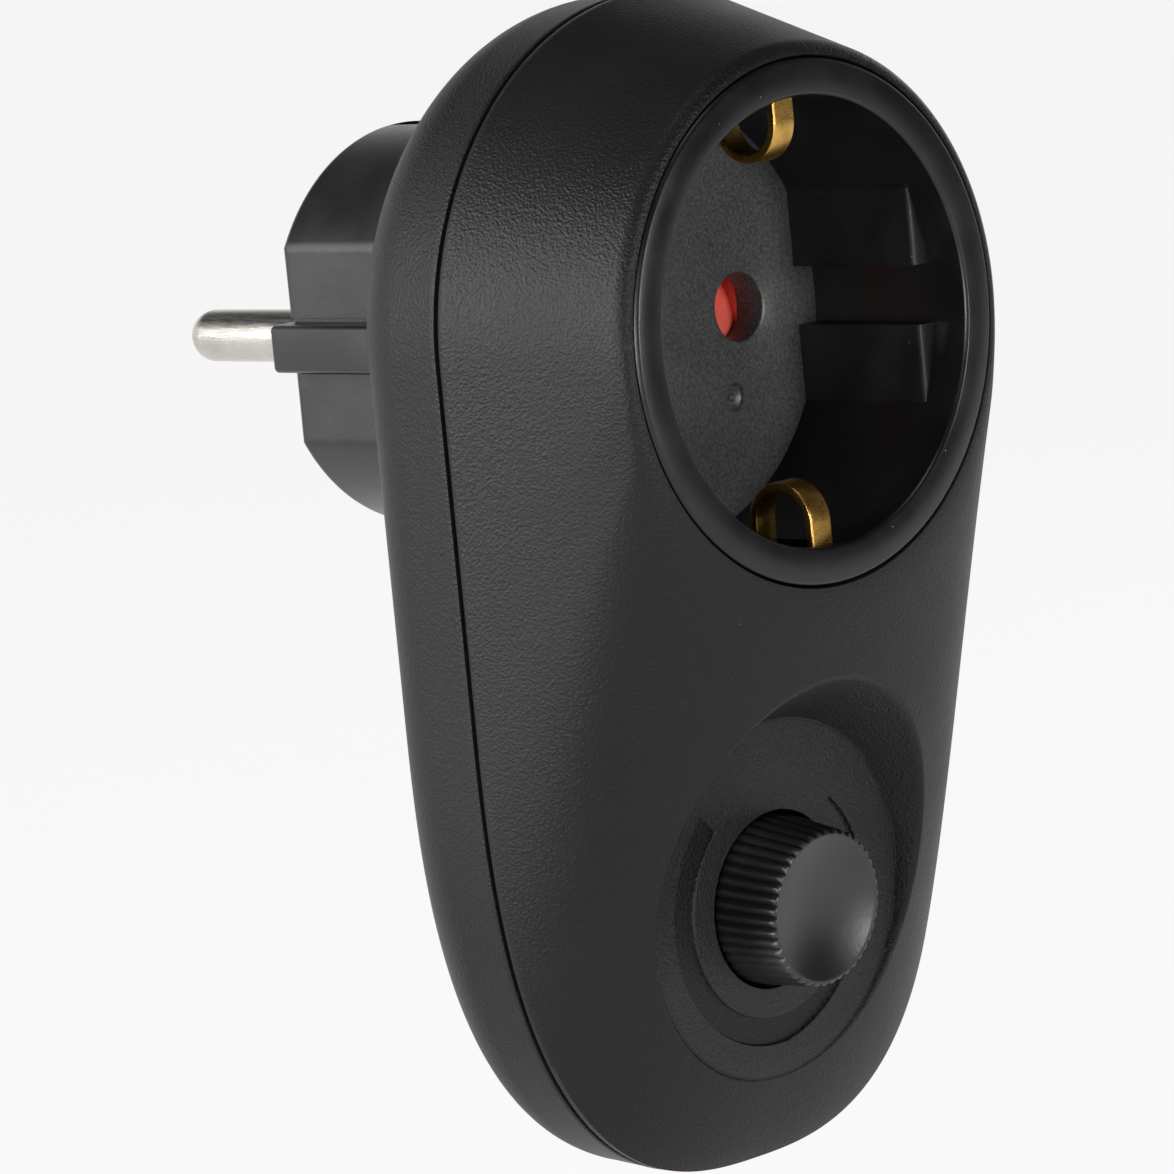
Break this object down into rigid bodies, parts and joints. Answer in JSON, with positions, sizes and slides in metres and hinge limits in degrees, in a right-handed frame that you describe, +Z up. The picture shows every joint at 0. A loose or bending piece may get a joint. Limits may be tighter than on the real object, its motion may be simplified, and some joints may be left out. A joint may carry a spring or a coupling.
{
  "type": "plug-in dimmer",
  "caption": "Plug-in wall dimmer: a tapered housing with an earthed socket in front, a turning knob below it and a two-pin earthed plug behind.",
  "frame": {"origin": "middle of the plug's end face, between the roots of the two pins", "axes": "+Z up, +Y from the room into the wall, along the pins; +X to the right seen from the room"},
  "size_m": [0.0586, 0.0686, 0.1046],
  "materials": {
    "housing_abs": "fine spark-eroded texture, matt",
    "insert_nylon": "smooth moulded, satin",
    "knob_abs": "smooth moulded, satin",
    "shutter_red": "smooth moulded",
    "brass_strip": "rolled strip, stamped edges",
    "nickel_plate": "bright nickel plate",
    "zinc_steel": "zinc plated",
    "spring_steel": "drawn wire",
    "inner_plastic": "plain moulded",
    "ferrite": "sintered",
    "copper_wire": "enamelled copper",
    "film_box": "smooth moulded box",
    "resistor_lacquer": "lacquered",
    "fuse_glass": "clear tube",
    "black_epoxy": "moulded epoxy",
    "sink_aluminium": "rolled sheet",
    "wire_pvc": "extruded",
    "laminate": "glass laminate with lacquer"
  },
  "bodies": {
    "housing": {"front_shell": "housing_abs", "rear_shell": "housing_abs", "plug_body": "insert_nylon", "socket_insert": "insert_nylon", "shutter_spring": "spring_steel", "shutter_cover": "inner_plastic", "cover_screws": "zinc_steel", "earth_strap_upper": "brass_strip", "earth_strap_lower": "brass_strip", "plug_pin_neutral": "nickel_plate", "plug_pin_live": "nickel_plate", "pin_carrier": "inner_plastic", "neutral_contact": "brass_strip", "live_contact": "brass_strip", "live_insulator": "inner_plastic", "live_wire_in": "wire_pvc", "live_wire_out": "wire_pvc", "pot_case": "inner_plastic", "pot_track": "black_epoxy", "pot_lugs": "zinc_steel", "board": "laminate", "board_screws": "zinc_steel", "choke_core": "ferrite", "choke_winding": "copper_wire", "film_capacitor": "film_box", "timing_capacitors": "film_box", "resistors": "resistor_lacquer", "diac": "fuse_glass", "fuse": "fuse_glass", "fuse_clips": "zinc_steel", "triac": "black_epoxy", "heat_sink": "sink_aluminium", "sink_screw": "zinc_steel", "case_screws": "zinc_steel"},
    "knob": {"knob": "knob_abs", "dimmer_shaft": "inner_plastic", "wiper": "zinc_steel"},
    "shutter": {"shutter": "shutter_red"}
  },
  "joints": [
    {"name": "knob_turn", "type": "hinge", "parent": "housing", "child": "knob", "pos_m": [0, -0.03813, -0.05156], "axis": [0, -0.9976, -0.0698], "range_deg": [-145, 145]},
    {"name": "shutter_slide", "type": "slide", "parent": "housing", "child": "shutter", "axis": [0, 0, -1], "range_m": [0, 0.0062], "stiffness_N_per_m": 150, "springref_m": -0.006, "deforming": ["shutter_spring"]}
  ]
}
